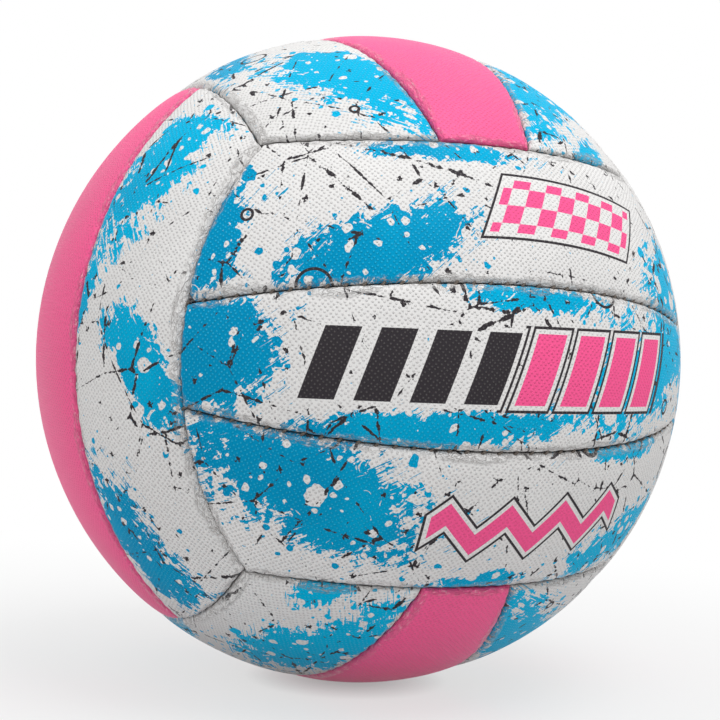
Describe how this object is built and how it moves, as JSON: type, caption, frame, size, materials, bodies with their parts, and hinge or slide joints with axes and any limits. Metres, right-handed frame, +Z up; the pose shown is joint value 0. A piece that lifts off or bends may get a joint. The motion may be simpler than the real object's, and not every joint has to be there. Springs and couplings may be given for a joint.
{
  "type": "netball",
  "caption": "Hand-stitched netball of turned-edge rubber panels on cloth linings, sewn over a bladder with a plug valve; white, blue and pink.",
  "frame": {"origin": "centre of the ball", "axes": "+Z up as pictured; -Y out of the front face, whose strips lie level; +X out of the right face, along the valve"},
  "size_m": [0.2227, 0.2228, 0.2228],
  "materials": {
    "cover_white": "pimpled rubber skin, white with a printed blue and charcoal spatter",
    "cover_pink": "pimpled rubber skin, bright pink",
    "lining_cloth": "woven polycotton backing stiffened with latex",
    "thread": "waxed polyester stitching thread",
    "bladder_rubber": "matt black butyl rubber",
    "valve_rubber": "moulded black rubber",
    "plug_rubber": "moulded pale grey rubber"
  },
  "bodies": {
    "ball": {"panel_front_top": "cover_white", "panel_front_middle": "cover_white", "panel_front_bottom": "cover_white", "lining_front_top": "lining_cloth", "lining_front_middle": "lining_cloth", "lining_front_bottom": "lining_cloth", "edge_thread_front_right": "thread", "edge_thread_front_left": "thread", "strip_thread_front": "thread", "panel_back_top": "cover_white", "panel_back_middle": "cover_white", "panel_back_bottom": "cover_white", "lining_back_top": "lining_cloth", "lining_back_middle": "lining_cloth", "lining_back_bottom": "lining_cloth", "edge_thread_back_left": "thread", "edge_thread_back_right": "thread", "strip_thread_back": "thread", "panel_left_back": "cover_white", "panel_left_middle": "cover_pink", "panel_left_front": "cover_white", "lining_left_back": "lining_cloth", "lining_left_middle": "lining_cloth", "lining_left_front": "lining_cloth", "edge_thread_left_top": "thread", "edge_thread_left_bottom": "thread", "strip_thread_left": "thread", "panel_right_front": "cover_white", "panel_right_middle": "cover_pink", "panel_right_back": "cover_white", "lining_right_front": "lining_cloth", "lining_right_middle": "lining_cloth", "lining_right_back": "lining_cloth", "edge_thread_right_top": "thread", "edge_thread_right_bottom": "thread", "strip_thread_right": "thread", "panel_top_left": "cover_white", "panel_top_middle": "cover_pink", "panel_top_right": "cover_white", "lining_top_left": "lining_cloth", "lining_top_middle": "lining_cloth", "lining_top_right": "lining_cloth", "edge_thread_top_back": "thread", "edge_thread_top_front": "thread", "strip_thread_top": "thread", "panel_bottom_right": "cover_white", "panel_bottom_middle": "cover_pink", "panel_bottom_left": "cover_white", "lining_bottom_right": "lining_cloth", "lining_bottom_middle": "lining_cloth", "lining_bottom_left": "lining_cloth", "edge_thread_bottom_back": "thread", "edge_thread_bottom_front": "thread", "strip_thread_bottom": "thread", "bladder": "bladder_rubber", "valve_patch": "bladder_rubber", "valve_body": "valve_rubber"},
    "valve_plug": {"valve_plug": "plug_rubber"}
  },
  "joints": [
    {"name": "plug_pull", "type": "slide", "parent": "ball", "child": "valve_plug", "axis": [1, 0, 0], "range_m": [0, 0.022]}
  ]
}
